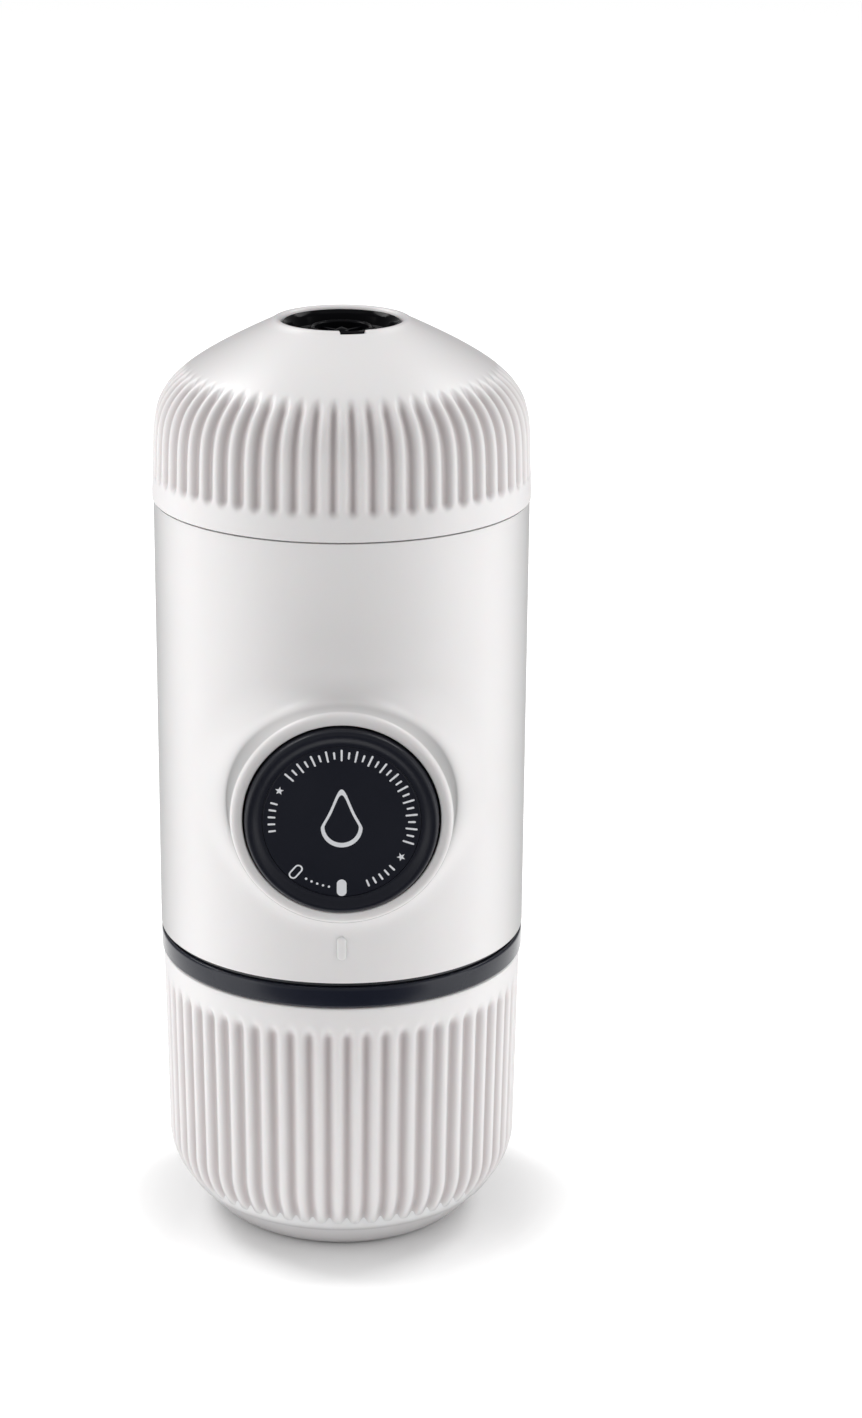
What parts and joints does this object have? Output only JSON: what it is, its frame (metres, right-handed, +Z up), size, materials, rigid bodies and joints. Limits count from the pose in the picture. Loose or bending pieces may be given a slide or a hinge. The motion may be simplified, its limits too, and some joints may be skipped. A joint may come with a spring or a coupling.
{
  "type": "handheld manual espresso maker",
  "caption": "White handheld manual espresso maker with a ribbed domed outlet head, a black pump knob in front, a dark tank collar and a ribbed drinking cup as its foot.",
  "frame": {"origin": "middle of the drinking cup's flat foot, on the surface the maker stands on", "axes": "+Z up the stack to the outlet opening, -Y out of the pump knob at the front, +X to the right seen from the front"},
  "size_m": [0.0624, 0.0712, 0.156],
  "materials": {
    "white_shell": "satin",
    "dark_core": "matte",
    "knob_black": "satin",
    "dark_band": "satin",
    "smoke_tank": "glossy, translucent",
    "steel": "brushed",
    "zinc_screw": "zinc plated",
    "silicone": "matte",
    "clear_silicone": "translucent",
    "pom_white": "matte"
  },
  "bodies": {
    "main": {"body_shell": "white_shell", "pump_block": "dark_core", "brew_collar": "dark_core", "brew_collar_screws": "zinc_screw", "tank_mount": "dark_core", "tank_mount_screws": "zinc_screw", "pump_tube": "pom_white", "pump_cap": "dark_core", "pump_cap_seal": "silicone", "pump_cap_screws": "zinc_screw", "guide_bush": "dark_core", "guide_wiper": "silicone", "return_spring": "steel", "inlet_valve_seat": "pom_white", "inlet_valve_spring": "steel", "inlet_strainer": "dark_core", "vent_valve": "silicone", "outlet_valve_seat": "pom_white", "outlet_valve_spring": "steel", "outlet_valve_plug": "pom_white", "shower_screen": "steel", "shower_screw": "zinc_screw", "brew_gasket": "clear_silicone"},
    "piston_carriage": {"spring_washer": "pom_white"},
    "piston": {"knob_cap": "knob_black", "knob_face": "knob_black", "knob_screw": "zinc_screw", "pump_sleeve": "pom_white", "plunger": "pom_white", "plunger_seal": "silicone"},
    "inlet_ball": {"inlet_valve_ball": "steel"},
    "outlet_ball": {"outlet_valve_ball": "steel"},
    "scoop_body": {"scoop": "dark_core"},
    "basket": {"filter_basket": "steel"},
    "head_ring": {"head_gasket": "clear_silicone"},
    "head": {"outlet_head": "white_shell", "funnel": "dark_core"},
    "nozzle_body": {"nozzle": "dark_core"},
    "tank_ring": {"tank_seal": "silicone"},
    "tank": {"water_tank": "smoke_tank", "tank_collar": "dark_band", "cup_grip_ring": "silicone"},
    "cup": {"drinking_cup": "white_shell"}
  },
  "joints": [
    {"name": "pump_stroke", "type": "slide", "parent": "main", "child": "piston_carriage", "axis": [0, -1, 0], "range_m": [0, 0.025], "deforming": ["return_spring"]},
    {"name": "knob_turn", "type": "hinge", "parent": "piston_carriage", "child": "piston", "pos_m": [0, -0.04, 0.0833], "axis": [0, -1, 0], "range_deg": [0, 45]},
    {"name": "inlet_lift", "type": "slide", "parent": "main", "child": "inlet_ball", "axis": [0, 0, 1], "range_m": [0, 0.001], "deforming": ["inlet_valve_spring"]},
    {"name": "outlet_lift", "type": "slide", "parent": "main", "child": "outlet_ball", "axis": [0, 0, 1], "range_m": [0, 0.001], "deforming": ["outlet_valve_spring"]},
    {"name": "scoop_lift", "type": "slide", "parent": "main", "child": "scoop_body", "axis": [0, 0, 1], "range_m": [0, 0.022]},
    {"name": "basket_lift", "type": "slide", "parent": "scoop_body", "child": "basket", "axis": [0, 0, 1], "range_m": [0, 0.022]},
    {"name": "head_rise", "type": "slide", "parent": "basket", "child": "head_ring", "axis": [0, 0, 1], "range_m": [0, 0.009]},
    {"name": "head_turn", "type": "hinge", "parent": "head_ring", "child": "head", "pos_m": [0, 0, 0.13], "axis": [0, 0, 1], "range_deg": [0, 270]},
    {"name": "nozzle_pull", "type": "slide", "parent": "head", "child": "nozzle_body", "axis": [0, 0, 1], "range_m": [0, 0.009]},
    {"name": "tank_drop", "type": "slide", "parent": "main", "child": "tank_ring", "axis": [0, 0, -1], "range_m": [0, 0.009]},
    {"name": "tank_turn", "type": "hinge", "parent": "tank_ring", "child": "tank", "pos_m": [0, 0, 0.05], "axis": [0, 0, -1], "range_deg": [0, 270]},
    {"name": "cup_pull", "type": "slide", "parent": "tank", "child": "cup", "axis": [0, 0, -1], "range_m": [0, 0.045]}
  ],
  "couplings": [
    {"joint": "head_rise", "follows": "head_turn", "m_per_rad": 0.0019099},
    {"joint": "tank_drop", "follows": "tank_turn", "m_per_rad": 0.0019099}
  ]
}
